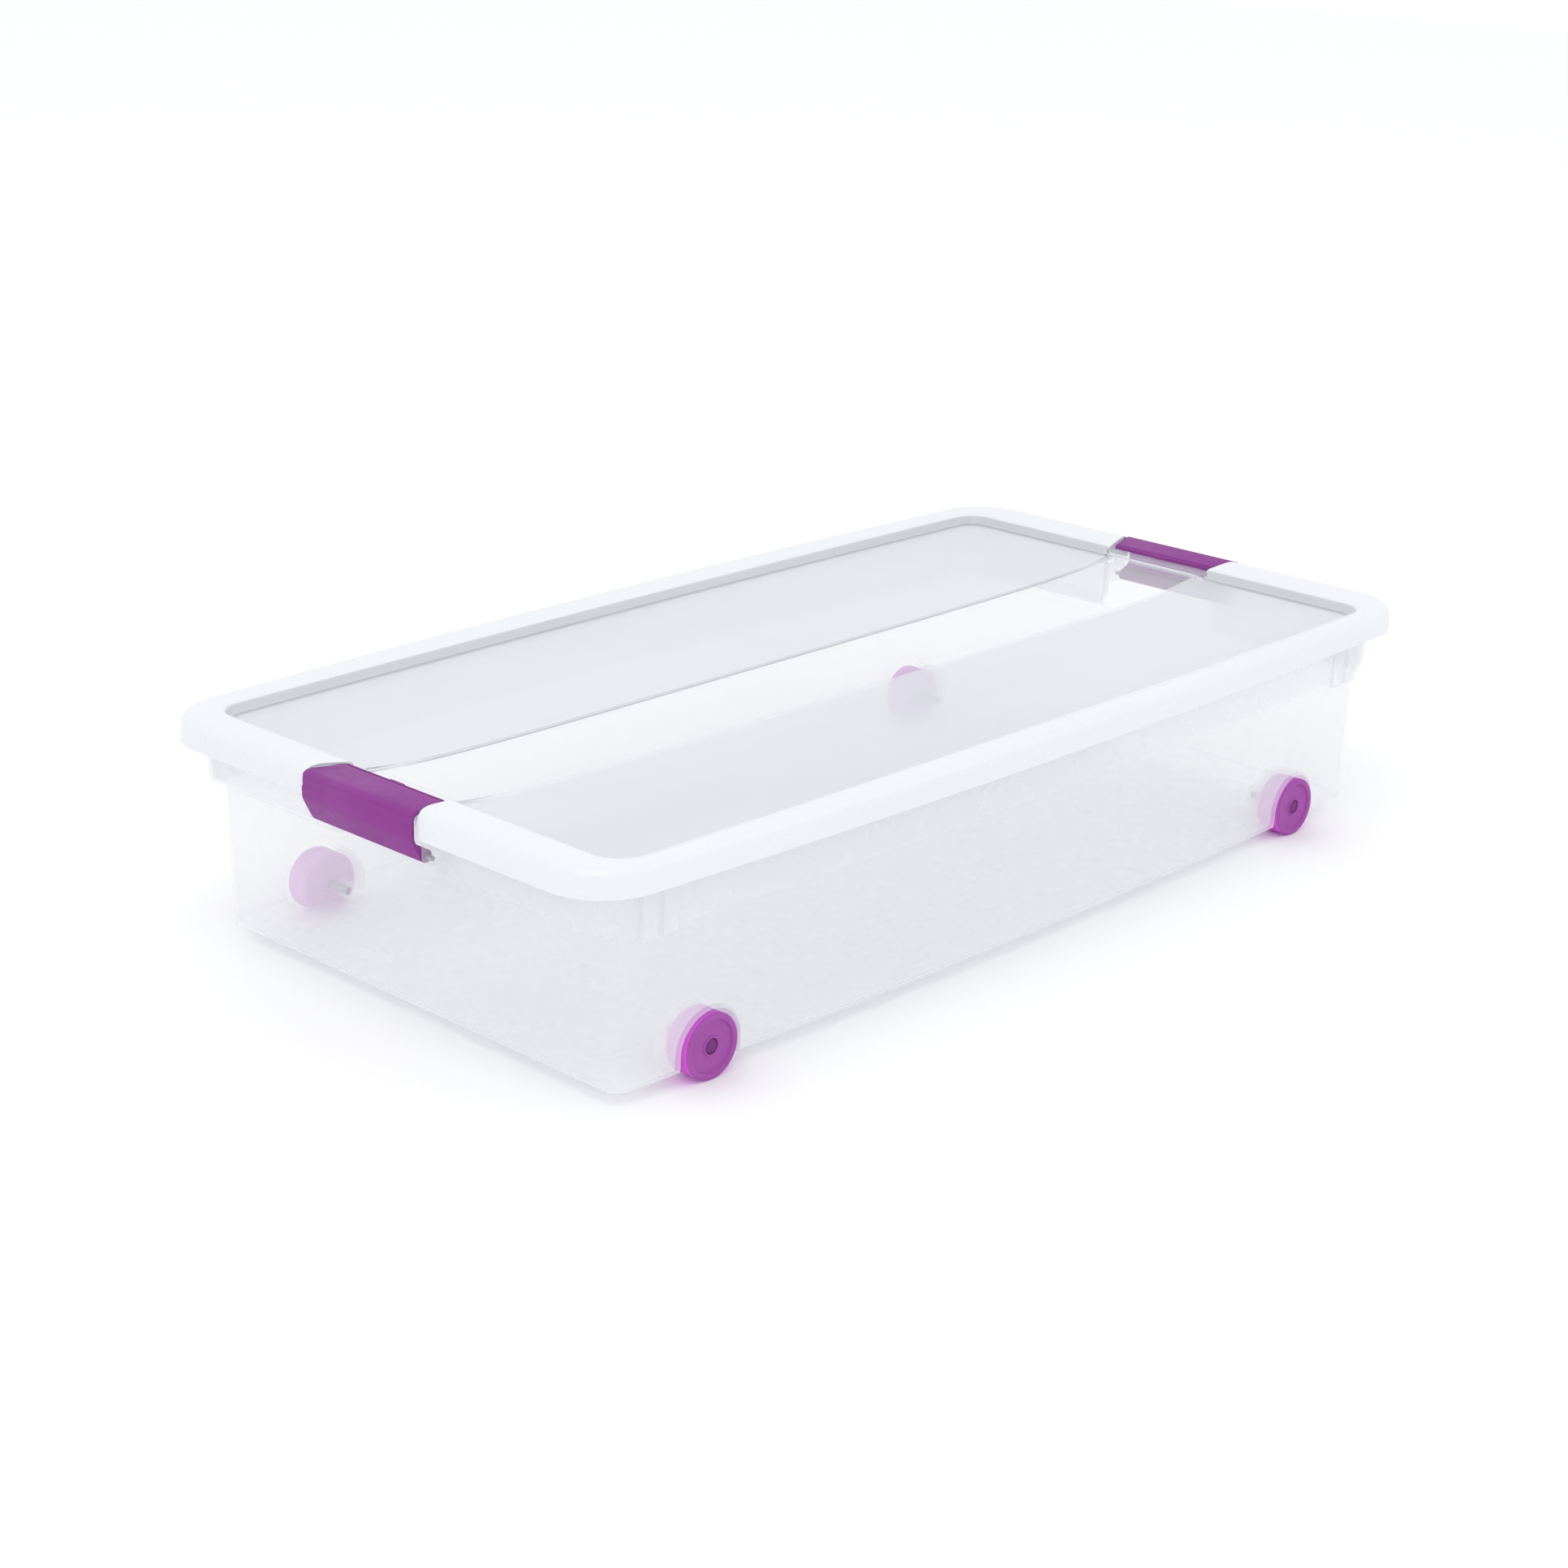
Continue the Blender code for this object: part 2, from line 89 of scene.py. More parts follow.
# The latch pockets in the ends of the tub, and the heights where its surface changes
FLOOR_TOP = 4.0
POCKET_HALF = 55.0
POCKET_X = 411.0
POCKET_WALL_X = 405.0
POCKET_TOP = 144.0
COLLAR_LOW = 106.0
NO_POCKET = 1000.0

# Lid panel
PANEL_X = 403.0
PANEL_Y = 201.0
PANEL_MIDDLE = 148.0
PANEL_EDGE = 154.0
BAND_HALF = 45.2
BAND_DEPTH = 1.0
RAMP_START = 340.0
RAMP_RISE = 3.7
STOP_SPAN_X = PANEL_X - 16.0
STOP_SPAN_Y = PANEL_Y - 14.0

# Material slots of the tub and of the lid
TUB_WALL_SLOT, TUB_FLOOR_SLOT, COLLAR_SLOT, CLEAR_SLOT = range(4)
# The lid's last slot is a painted shade: a grey laid on the inner wall of the rim and on the edges of the
# sunk band, where shade falls
LID_RIM_SLOT, FROST_SLOT, BAND_SLOT, PAINTED_SHADE_SLOT = range(4)
FIRST_STEP_RING = 13

# Latches, their seats and their hinge lugs
PIN_RADIUS = 1.7
BARREL_RADIUS = 4.5
LATCH_HALF = 56.0
LATCH_TIP_HALF = 48.5
LATCH_TIP_X = 412.0
LATCH_TAPER_X = 438.0
LATCH_WALL = 2.6
INNER_X = 436.5
INNER_LOW = 136.5
NUB_HALF = 7.0
NUB_REACH = 1.6
GROOVE = 0.8
LUG_INNER = 57.3
LUG_OUTER = 62.5
LUG_RADIUS = 5.0
RIM_CUT_HALF = 61.5
RIM_CUT_HEIGHT = 154.7
NOTCH_HALF = 58.0
NOTCH_INNER_X = 403.3
NOTCH_SLOPE = 0.2
CHEEK = 2.0
LEDGE_HALF = 52.0
LEDGE_TOP = 157.6
LEDGE_UNDER = 155.2
LEDGE_END_X = 420.0
ABOVE_ALL = 175.0

# Wheels and their housings
AXLE_RADIUS = 3.0
AXLE_DEPTH = 41.0
WELL_RADIUS = 26.0
WELL_Y = 185.0
BOSS_RADIUS = 7.0
BOSS_Y = 165.0

# Corner ribs
RIB_CENTRES = (367.0, 385.5)
RIB_WIDTH = 12.0
RIB_FACE_Y = 211.4
RIB_BOTTOM = 105.0
RIB_TOP = 147.0

Section = namedtuple("Section", "inset_x inset_y bow radius z")

# Outer and under surface of the tub, from the floor up the wall, out along the rim and down its lip
TUB_SECTIONS = (
    Section(41.5, 31.0, 9.6, 9.0, 0.0),
    Section(39.2, 28.6, 9.6, 10.6, 0.35),
    Section(37.6, 27.0, 9.6, 11.9, 1.6),
    Section(37.0, 26.4, 9.6, 12.5, 4.0),
    Section(35.6, 25.0, 9.6, 13.0, 45.0),
    Section(34.3, 23.7, 9.6, 13.6, 84.0),
    Section(33.6, 23.0, 9.6, 14.0, 104.5),
    Section(33.2, 22.9, 9.6, 14.0, 106.6),
    Section(31.6, 22.8, 9.6, 14.0, 108.2),
    Section(26.0, 22.8, 9.6, 14.0, 111.0),
    Section(23.6, 22.8, 9.6, 14.0, 112.8),
    Section(22.4, 22.7, 9.6, 14.5, 115.6),
    Section(21.4, 21.8, 9.8, 15.6, 130.0),
    Section(20.6, 21.0, 10.0, 17.0, 142.4),
    Section(20.3, 19.6, 10.0, 18.5, 144.2),
    Section(19.8, 16.6, 10.0, 21.0, 146.2),
    Section(19.5, 15.5, 10.0, 22.0, 148.4),
    Section(19.0, 15.0, 10.0, 23.0, 155.0),
    Section(18.0, 13.8, 10.2, 24.0, 157.3),
    Section(15.5, 11.5, 10.5, 27.0, 157.8),
    Section(11.5, 9.0, 11.5, 32.0, 157.6),
    Section(9.3, 8.1, 11.8, 35.0, 157.0),
    Section(8.4, 7.5, 12.0, 36.0, 155.4),
    Section(7.8, 7.0, 12.0, 37.0, 149.5),
)

# Top surface of the lid, from the lower edge of the skirt over the crown and down to the panel
LID_SECTIONS = (
    Section(0.0, 0.0, 13.0, 43.0, 144.0),
    Section(0.1, 0.3, 13.0, 42.9, 149.0),
    Section(0.4, 1.0, 13.0, 42.6, 155.0),
    Section(0.9, 1.4, 13.0, 42.1, 157.8),
    Section(1.7, 2.2, 13.0, 41.4, 159.6),
    Section(3.1, 3.5, 13.0, 40.3, 161.3),
    Section(5.0, 5.2, 13.0, 39.0, 162.5),
    Section(7.6, 7.3, 12.6, 37.0, 163.2),
    Section(11.0, 10.0, 12.0, 34.0, 163.5),
    Section(16.0, 13.2, 10.6, 31.5, 163.2),
    Section(23.5, 17.7, 8.8, 27.6, 162.2),
    Section(31.0, 22.2, 7.0, 24.0, 161.2),
    Section(33.6, 25.2, 6.0, 21.3, 160.7),
    Section(35.4, 27.1, 5.5, 19.6, 159.8),
    Section(36.3, 28.0, 5.3, 18.9, 158.4),
    Section(37.3, 29.0, 5.1, 18.1, 155.9),
    Section(38.0, 29.7, 5.0, 17.6, 154.8),
)
PANEL_SECTION = Section(40.0, 31.5, 5.0, 16.0, None)


def to_world(x, y, z):
    """A point in metres above the floor, from millimetres above the underside of the tub."""
    return Vector((x, y, z + GROUND_CLEARANCE)) * MM


def smooth(value, low, high):
    """0 below low, 1 above high and a smooth rise between them."""
    share = min(1.0, max(0.0, (value - low) / (high - low)))
    return share * share * (3 - 2 * share)


def panel_height(x, y):
    """The panel dishes; its clear band is sunk a little and ramps up to the latch ledges."""
    along = 1 - (x / PANEL_X) ** 6
    across = 1 - (y / PANEL_Y) ** 2
    dish = PANEL_MIDDLE + (PANEL_EDGE - PANEL_MIDDLE) * (1 - along * across)
    in_band = 1 - smooth(abs(y), BAND_HALF - 1.0, BAND_HALF + 1.0)
    rise = RAMP_RISE * max(0.0, (abs(x) - RAMP_START) / (PANEL_X - RAMP_START)) ** 1.4
    return dish + in_band * (rise - BAND_DEPTH)


def quarter(section, pocket_x):
    """Points of a quarter of a section, from the middle of the +X end to the middle of the +Y side."""
    half_x = HALF_LENGTH - section.inset_x
    half_y = HALF_WIDTH - section.inset_y - section.bow
    corner_x = half_x - section.radius
    corner_y = half_y - section.radius
    points = []
    for stop in END_STOPS:
        share = smooth(stop, 60.0, 172.0)
        y = stop * (1 - share) + stop * share * corner_y / STOP_SPAN_Y
        points.append((min(half_x, pocket_x) if stop <= POCKET_HALF else half_x, y))
    for step in range(CORNER_STEPS + 1):
        angle = math.pi / 2 * step / CORNER_STEPS
        points.append((corner_x + section.radius * math.cos(angle),
                       corner_y + section.radius * math.sin(angle)))
    for stop in reversed(SIDE_STOPS):
        points.append((stop * corner_x / STOP_SPAN_X, half_y))
    return [(x, y + section.bow * max(0.0, 1 - (x / half_x) ** 2)) for x, y in points]


def ring(section, pocket_x=NO_POCKET):
    """A whole section, anticlockwise from above, as points in metres."""
    first = quarter(section, pocket_x)
    back = list(reversed(first))
    points = first[:-1]
    points += [(-x, y) for x, y in back[:-1]]
    points += [(-x, -y) for x, y in first[:-1]]
    points += [(x, -y) for x, y in back[:-1]]
    if section.z is None:
        return [to_world(x, y, panel_height(x, y)) for x, y in points]
    return [to_world(x, y, section.z) for x, y in points]


# ---------------------------------------------------------------- mesh tools

parts = bpy.data.collections.new("under_bed_box")
cutters = bpy.data.collections.new("cutters")
bpy.context.scene.collection.children.link(parts)
bpy.context.scene.collection.children.link(cutters)


def new_object(name, mesh, collection):
    obj = bpy.data.objects.new(name, mesh)
    collection.objects.link(obj)
    return obj


def mesh_from(bm, name):
    mesh = bpy.data.meshes.new(name)
    bm.to_mesh(mesh)
    bm.free()
    return mesh


def add_loft(bm, rings):
    """Quads through closed rings; returns the vertices, ring by ring."""
    loops = [[bm.verts.new(point) for point in points] for points in rings]
    for lower, upper in zip(loops, loops[1:]):
        for i in range(len(lower)):
            j = (i + 1) % len(lower)
            bm.faces.new((lower[i], lower[j], upper[j], upper[i]))
    return loops


def corner_patch(u, v, corner_x, corner_y, radius):
    """A point of the curved quad between a corner's straight edges and its arc; u and v run from 0 to 1."""
    bend = math.pi / 4
    low = Vector((corner_x + radius * u, corner_y))
    left = Vector((corner_x, corner_y + radius * v))
    top = Vector((corner_x + radius * math.sin(bend * u), corner_y + radius * math.cos(bend * u)))
    right = Vector((corner_x + radius * math.cos(bend * v), corner_y + radius * math.sin(bend * v)))
    tip = Vector((corner_x + radius * math.sin(bend), corner_y + radius * math.cos(bend)))
    flat = ((1 - u) * (1 - v) * Vector((corner_x, corner_y))
            + u * (1 - v) * Vector((corner_x + radius, corner_y))
            + (1 - u) * v * Vector((corner_x, corner_y + radius)) + u * v * tip)
    return (1 - v) * low + v * top + (1 - u) * left + u * right - flat


def panel_point(column, row):
    """Where a grid line crossing of the panel lies, for column and row counted from the middle of the lid."""
    half_x = HALF_LENGTH - PANEL_SECTION.inset_x
    half_y = HALF_WIDTH - PANEL_SECTION.inset_y - PANEL_SECTION.bow
    radius = PANEL_SECTION.radius
    corner_x = half_x - radius
    corner_y = half_y - radius
    steps = CORNER_STEPS // 2
    sides = quarter(PANEL_SECTION, NO_POCKET)
    columns = [point[0] for point in reversed(sides[len(END_STOPS) + CORNER_STEPS + 1:])] + [corner_x]
    rows = [point[1] - PANEL_SECTION.bow * max(0.0, 1 - (point[0] / half_x) ** 2)
            for point in sides[:len(END_STOPS)]] + [corner_y]
    in_x = min(abs(column), len(columns) - 1)
    in_y = min(abs(row), len(rows) - 1)
    over_x = (abs(column) - in_x) / steps
    over_y = (abs(row) - in_y) / steps
    if over_x > 0 and over_y > 0:
        point = corner_patch(over_x, over_y, corner_x, corner_y, radius)
    else:
        point = Vector((columns[in_x] + radius * over_x, rows[in_y] + radius * over_y))
    spread = smooth(point.y, BAND_HALF + 1.5, half_y)
    x = math.copysign(point.x, column)
    y = math.copysign(point.y + spread * PANEL_SECTION.bow * max(0.0, 1 - (point.x / half_x) ** 2), row)
    return x, y


def fill_panel(bm, rim):
    """A grid of quads inside the ring of vertices rim; returns its faces."""
    steps = CORNER_STEPS // 2
    last_column = len(SIDE_STOPS) + steps
    last_row = len(END_STOPS) + steps
    grid = {}
    for column in range(-last_column, last_column + 1):
        for row in range(-last_row, last_row + 1):
            if abs(column) < last_column and abs(row) < last_row:
                x, y = panel_point(column, row)
                grid[column, row] = bm.verts.new(to_world(x, y, panel_height(x, y)))
    walk = [(last_column, row) for row in range(0, last_row)]
    walk += [(column, last_row) for column in range(last_column, -last_column, -1)]
    walk += [(-last_column, row) for row in range(last_row, -last_row, -1)]
    walk += [(column, -last_row) for column in range(-last_column, last_column)]
    walk += [(last_column, row) for row in range(-last_row, 0)]
    for place, vertex in zip(walk, rim):
        grid[place] = vertex
    faces = []
    for column in range(-last_column, last_column):
        for row in range(-last_row, last_row):
            corners = ((column, row), (column + 1, row), (column + 1, row + 1), (column, row + 1))
            faces.append(bm.faces.new([grid[corner] for corner in corners]))
    return faces


def prism(name, outline, start, end, upright=True, shear=0.0):
    """A flat outline given depth: an XZ outline runs in Y from start to end, an XY one in Z."""
    bm = bmesh.new()
    if upright:
        near = [bm.verts.new(to_world(u, start, v)) for u, v in outline]
        far = [bm.verts.new(to_world(u, end, v)) for u, v in outline]
    else:
        near = [bm.verts.new(to_world(u, v, start)) for u, v in outline]
        far = [bm.verts.new(to_world(u, v, end)) for u, v in outline]
    bm.faces.new(near)
    bm.faces.new(list(reversed(far)))
    for i in range(len(outline)):
        j = (i + 1) % len(outline)
        bm.faces.new((near[i], far[i], far[j], near[j]))
    for vertex in bm.verts:
        vertex.co.y += shear * vertex.co.x
    bmesh.ops.recalc_face_normals(bm, faces=bm.faces)
    return new_object(name, mesh_from(bm, name), cutters)


def rod(name, radius, start, end, x, z, steps=48):
    """A cylinder along Y."""
    bm = bmesh.new()
    turn = Matrix.Rotation(math.pi / 2, 4, "X") @ Matrix.Rotation(math.pi / steps, 4, "Z")
    place = Matrix.Translation(to_world(x, (start + end) / 2, z)) @ turn
    bmesh.ops.create_cone(bm, cap_ends=True, segments=steps, radius1=radius * MM, radius2=radius * MM,
                          depth=(end - start) * MM, matrix=place)
    return new_object(name, mesh_from(bm, name), cutters)


def mirrored(obj, in_x, in_y):
    mirror = obj.modifiers.new("mirror", "MIRROR")
    mirror.use_axis[0] = in_x
    mirror.use_axis[1] = in_y
    mirror.merge_threshold = 0.0001
    return obj


def thicken(obj, thickness):
    solidify = obj.modifiers.new("wall", "SOLIDIFY")
    solidify.thickness = thickness * MM
    solidify.offset = -1
    solidify.use_even_offset = True
    solidify.use_quality_normals = True
    obj.modifiers.new("flat_faces", "TRIANGULATE")


def combine(target, operand, operation):
    boolean = target.modifiers.new(operand.name, "BOOLEAN")
    boolean.operation = operation
    boolean.solver = "EXACT"
    boolean.object = operand
    boolean.material_mode = "INDEX"


def paint(operand, slot):
    """Makes an operand's faces take the target's material in this slot."""
    for _ in range(slot + 1):
        operand.data.materials.append(None)
    for face in operand.data.polygons:
        face.material_index = slot


def round_edges(obj, width, segments=2, angle=40):
    bevel = obj.modifiers.new("soft_edges", "BEVEL")
    bevel.width = width * MM
    bevel.segments = segments
    bevel.limit_method = "ANGLE"
    bevel.angle_limit = math.radians(angle)
    bevel.harden_normals = False


def finished(obj, sharp=34.0):
    """Applies the modifiers, clears what is left of slivers and shades the piece smooth."""
    depsgraph = bpy.context.evaluated_depsgraph_get()
    mesh = bpy.data.meshes.new_from_object(obj.evaluated_get(depsgraph))
    obj.modifiers.clear()
    obj.data = mesh
    bm = bmesh.new()
    bm.from_mesh(mesh)
    bmesh.ops.dissolve_degenerate(bm, dist=1e-6, edges=bm.edges)
    bm.to_mesh(mesh)
    bm.free()
    mesh.shade_smooth()
    mesh.set_sharp_from_angle(angle=math.radians(sharp))
    return obj


def clear_cutters():
    for obj in list(cutters.objects):
        bpy.data.objects.remove(obj)


def arc(centre_x, centre_z, radius, start, end, steps):
    """Points of an arc in degrees, both ends included."""
    angles = [math.radians(start + (end - start) * step / steps) for step in range(steps + 1)]
    return [(centre_x + radius * math.cos(angle), centre_z + radius * math.sin(angle)) for angle in angles]


# ---------------------------------------------------------------- materials

class Nodes:
    """A material's node tree, with short calls to add and join nodes."""

    def __init__(self, name):
        self.material = bpy.data.materials.new(name)
        self.material.use_nodes = True
        self.tree = self.material.node_tree
        self.shader = self.tree.nodes["Principled BSDF"]
        self.place = self.add("ShaderNodeTexCoord").outputs["Object"]

    def add(self, kind):
        return self.tree.nodes.new(kind)

    def join(self, output, target):
        self.tree.links.new(output, target)

    def set(self, **values):
        for name, value in values.items():
            self.shader.inputs[name.replace("_", " ")].default_value = value

    def noise(self, scale, detail=3.0, roughness=0.5, stretch=None):
        node = self.add("ShaderNodeTexNoise")
        node.inputs["Scale"].default_value = scale
        node.inputs["Detail"].default_value = detail
        node.inputs["Roughness"].default_value = roughness
        source = self.place
        if stretch:
            mapping = self.add("ShaderNodeMapping")
            mapping.inputs["Scale"].default_value = stretch
            self.join(source, mapping.inputs["Vector"])
            source = mapping.outputs["Vector"]
        self.join(source, node.inputs["Vector"])
        return node.outputs["Fac"]

    def mapped(self, value, low, high):
        """Noise from 0.3 to 0.7 spread over low to high."""
        node = self.add("ShaderNodeMapRange")
        node.inputs["From Min"].default_value = 0.3
        node.inputs["From Max"].default_value = 0.7
        node.inputs["To Min"].default_value = low
        node.inputs["To Max"].default_value = high
        self.join(value, node.inputs["Value"])
        return node.outputs["Result"]

    def blend_colours(self, value, first, second):
        node = self.add("ShaderNodeValToRGB")
        node.color_ramp.elements[0].position = 0.3
        node.color_ramp.elements[1].position = 0.7
        node.color_ramp.elements[0].color = (*first, 1)
        node.color_ramp.elements[1].color = (*second, 1)
        self.join(value, node.inputs["Fac"])
        return node.outputs["Color"]

    def bump(self, heights):
        """Bumps in a chain, each given as (height output, strength, distance in metres)."""
        normal = None
        for height, strength, distance in heights:
            node = self.add("ShaderNodeBump")
            node.inputs["Strength"].default_value = strength
            node.inputs["Distance"].default_value = distance
            self.join(height, node.inputs["Height"])
            if normal:
                self.join(normal, node.inputs["Normal"])
            normal = node.outputs["Normal"]
        self.join(normal, self.shader.inputs["Normal"])


def cloudy_plastic(name, light, shade, alpha, rough_low, rough_high, grain, grain_scale):
    """Natural polypropylene: see-through but milky, with slow moulding waves and a fine surface grain."""
    nodes = Nodes(name)
    nodes.set(Alpha=alpha, IOR=1.49, Specular_IOR_Level=0.5)
    flow = nodes.noise(6.0, detail=4.0, roughness=0.55, stretch=(0.6, 1.4, 2.2))
    nodes.join(nodes.blend_colours(flow, shade, light), nodes.shader.inputs["Base Color"])
    nodes.join(nodes.mapped(nodes.noise(38.0), rough_low, rough_high), nodes.shader.inputs["Roughness"])
    nodes.bump(((nodes.noise(5.0, detail=2.0), 0.25, 0.0006),
                (nodes.noise(grain_scale, detail=2.0), grain, 0.0001)))
    return nodes.material


def purple_plastic(name, light, shade, scale):
    """Opaque satin plastic with a fine spark-eroded grain and slightly uneven gloss."""
    nodes = Nodes(name)
    nodes.set(IOR=1.5, Specular_IOR_Level=0.1)
    colour = nodes.blend_colours(nodes.noise(scale, detail=5.0), shade, light)
    nodes.join(colour, nodes.shader.inputs["Base Color"])
    nodes.join(nodes.mapped(nodes.noise(140.0, detail=2.0), 0.44, 0.54), nodes.shader.inputs["Roughness"])
    nodes.bump(((nodes.noise(30.0, detail=2.0), 0.12, 0.0003),
                (nodes.noise(700.0, detail=2.0), 0.2, 0.00005)))
    return nodes.material


def drawn_steel():
    """Plain drawn rod, streaked along its length."""
    nodes = Nodes("drawn_steel")
    nodes.set(Metallic=1.0)
    streaks = nodes.noise(900.0, detail=2.0, stretch=(1.0, 0.04, 1.0))
    colour = nodes.blend_colours(streaks, (0.36, 0.36, 0.38), (0.52, 0.52, 0.54))
    nodes.join(colour, nodes.shader.inputs["Base Color"])
    nodes.join(nodes.mapped(streaks, 0.28, 0.42), nodes.shader.inputs["Roughness"])
    nodes.bump(((streaks, 0.2, 0.00005),))
    return nodes.material


MILK = (0.96, 0.966, 0.98)
MILK_SHADE = (0.945, 0.952, 0.97)
TUB_PLASTIC = cloudy_plastic("tub_plastic", MILK, MILK_SHADE, 0.23, 0.22, 0.30, 0.10, 260.0)
BASE_PLASTIC = cloudy_plastic("tub_floor_plastic", MILK, MILK_SHADE, 0.36, 0.24, 0.32, 0.10, 260.0)
COLLAR_PLASTIC = cloudy_plastic("collar_plastic", (0.90, 0.915, 0.94), (0.87, 0.885, 0.915),
                                0.36, 0.22, 0.30, 0.10, 260.0)
RIM_PLASTIC = cloudy_plastic("rim_plastic", (0.775, 0.795, 0.83), (0.76, 0.782, 0.818),
                             1.0, 0.22, 0.30, 0.08, 260.0)
# Painted shade: a darker grey for the inner wall of the lid's rim and the edges of the sunk band, standing in
# for the shade in these recesses
STEP_PAINTED_SHADE = cloudy_plastic("step_painted_shade", (0.60, 0.62, 0.645), (0.57, 0.59, 0.615),
                              1.0, 0.26, 0.34, 0.08, 260.0)
FROST_PLASTIC = cloudy_plastic("frosted_panel", (0.775, 0.80, 0.835), (0.75, 0.775, 0.81),
                               0.56, 0.46, 0.56, 0.20, 330.0)
BAND_PLASTIC = cloudy_plastic("clear_band", (0.90, 0.92, 0.94), (0.87, 0.89, 0.92),
                              0.16, 0.10, 0.16, 0.04, 260.0)
PURPLE = (0.275, 0.056, 0.288)
PURPLE_SHADE = (0.235, 0.044, 0.248)
LATCH_PLASTIC = purple_plastic("latch_plastic", PURPLE, PURPLE_SHADE, 22.0)
WHEEL_PLASTIC = purple_plastic("wheel_plastic", (0.385, 0.098, 0.40), (0.34, 0.080, 0.355), 30.0)
# Painted light: a lighter purple for the inward faces of a latch, standing in for light that reaches its
# shaded inside through the plastic
LATCH_BACK_PAINTED_LIGHT = purple_plastic("latch_back_painted_light", (0.68, 0.20, 0.68), (0.63, 0.18, 0.63), 22.0)
# Painted light: a lighter purple for the hidden faces of a wheel, standing in for light that reaches them
# through the tub's walls
WHEEL_HIDDEN_PAINTED_LIGHT = purple_plastic("wheel_hidden_painted_light", (0.70, 0.12, 0.70), (0.65, 0.11, 0.65), 30.0)
AXLE_PLASTIC = purple_plastic("axle_plastic", (0.20, 0.045, 0.215), (0.17, 0.036, 0.185), 60.0)
STEEL = drawn_steel()


def dress(obj, *materials):
    """Gives a piece its materials; a piece that has some already keeps which face has which."""
    for number, material in enumerate(materials):
        if number < len(obj.data.materials):
            obj.data.materials[number] = material
        else:
            obj.data.materials.append(material)


def place_piece(obj, body, node):
    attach(obj, body)
    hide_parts(node)


# ---------------------------------------------------------------- tub

def arch(radius, bottom):
    """The D-shaped outline of a wheel housing, round over the axle and straight down from it."""
    sides = [(WHEEL_X - radius, bottom), (WHEEL_X + radius, bottom)]
    return sides + arc(WHEEL_X, AXLE_HEIGHT, radius, 0, 180, 40)


def closed_loft(name, rings):
    """A solid through closed rings, with a face over the first and the last."""
    bm = bmesh.new()
    loops = add_loft(bm, rings)
    bm.faces.new(list(reversed(loops[0])))
    bm.faces.new(loops[-1])
    return new_object(name, mesh_from(bm, name), cutters)


def tub_core():
    """The space inside the tub out to the middle of its wall, which trims what is added to the wall."""
    inset = TUB_WALL / 2
    rings = []
    for section, z in ((TUB_SECTIONS[3], inset), (TUB_SECTIONS[3], 4.0),
                       (TUB_SECTIONS[4], 45.0), (TUB_SECTIONS[5], 84.0)):
        rings.append(ring(Section(section.inset_x + inset, section.inset_y + inset, section.bow,
                                  section.radius - inset, z)))
    return closed_loft("tub_core", rings)


def add_housings(tub):
    """Wheel housings moulded into the floor and side walls, with a boss for each axle pin."""
    housing = prism("housing", arch(WELL_RADIUS + TUB_WALL, -5.0), WELL_Y - TUB_WALL, 230.0)
    mirrored(housing, True, True)
    combine(housing, tub_core(), "INTERSECT")
    combine(tub, housing, "UNION")
    boss = rod("boss", BOSS_RADIUS, BOSS_Y, WELL_Y - TUB_WALL / 2, WHEEL_X, AXLE_HEIGHT)
    combine(tub, mirrored(boss, True, True), "UNION")
    combine(tub, mirrored(prism("well", arch(WELL_RADIUS, -10.0), WELL_Y, 240.0), True, True), "DIFFERENCE")
    bore = rod("axle_bore", AXLE_RADIUS + PLAY, BOSS_Y - 5, WELL_Y + 5, WHEEL_X, AXLE_HEIGHT)
    combine(tub, mirrored(bore, True, True), "DIFFERENCE")


def add_ribs(tub):
    """Two upright ribs beside each corner, on the long sides under the rim."""
    for number, centre in enumerate(RIB_CENTRES):
        left = centre - RIB_WIDTH / 2
        right = centre + RIB_WIDTH / 2
        side = HALF_WIDTH - TUB_SECTIONS[6].inset_y - TUB_SECTIONS[6].bow
        plan = [(left, side), (right, side - 1), (right, RIB_FACE_Y - 0.6), (right - 0.6, RIB_FACE_Y),
                (left + 0.6, RIB_FACE_Y), (left, RIB_FACE_Y - 0.6)]
        rib = prism(f"rib_{number}", plan, RIB_BOTTOM, RIB_TOP, upright=False)
        paint(rib, COLLAR_SLOT)
        combine(tub, mirrored(rib, True, True), "UNION")


def add_lugs(tub):
    """A pair of lugs at each end, which hold the ends of the latch pin."""
    top = RIM_CUT_HEIGHT - 5
    outline = arc(PIN_X, PIN_Z, LUG_RADIUS, -90, 0, 12)
    outline += [(PIN_X + LUG_RADIUS, top), (422.5, top), (421.3, 143.0), (420.1, PIN_Z - LUG_RADIUS)]
    lug = prism("lug", outline, LUG_INNER, LUG_OUTER)
    paint(lug, CLEAR_SLOT)
    combine(lug, rod("lug_bore", PIN_RADIUS + PLAY, LUG_INNER - 1, LUG_OUTER + 1, PIN_X, PIN_Z), "DIFFERENCE")
    combine(tub, mirrored(lug, True, True), "UNION")


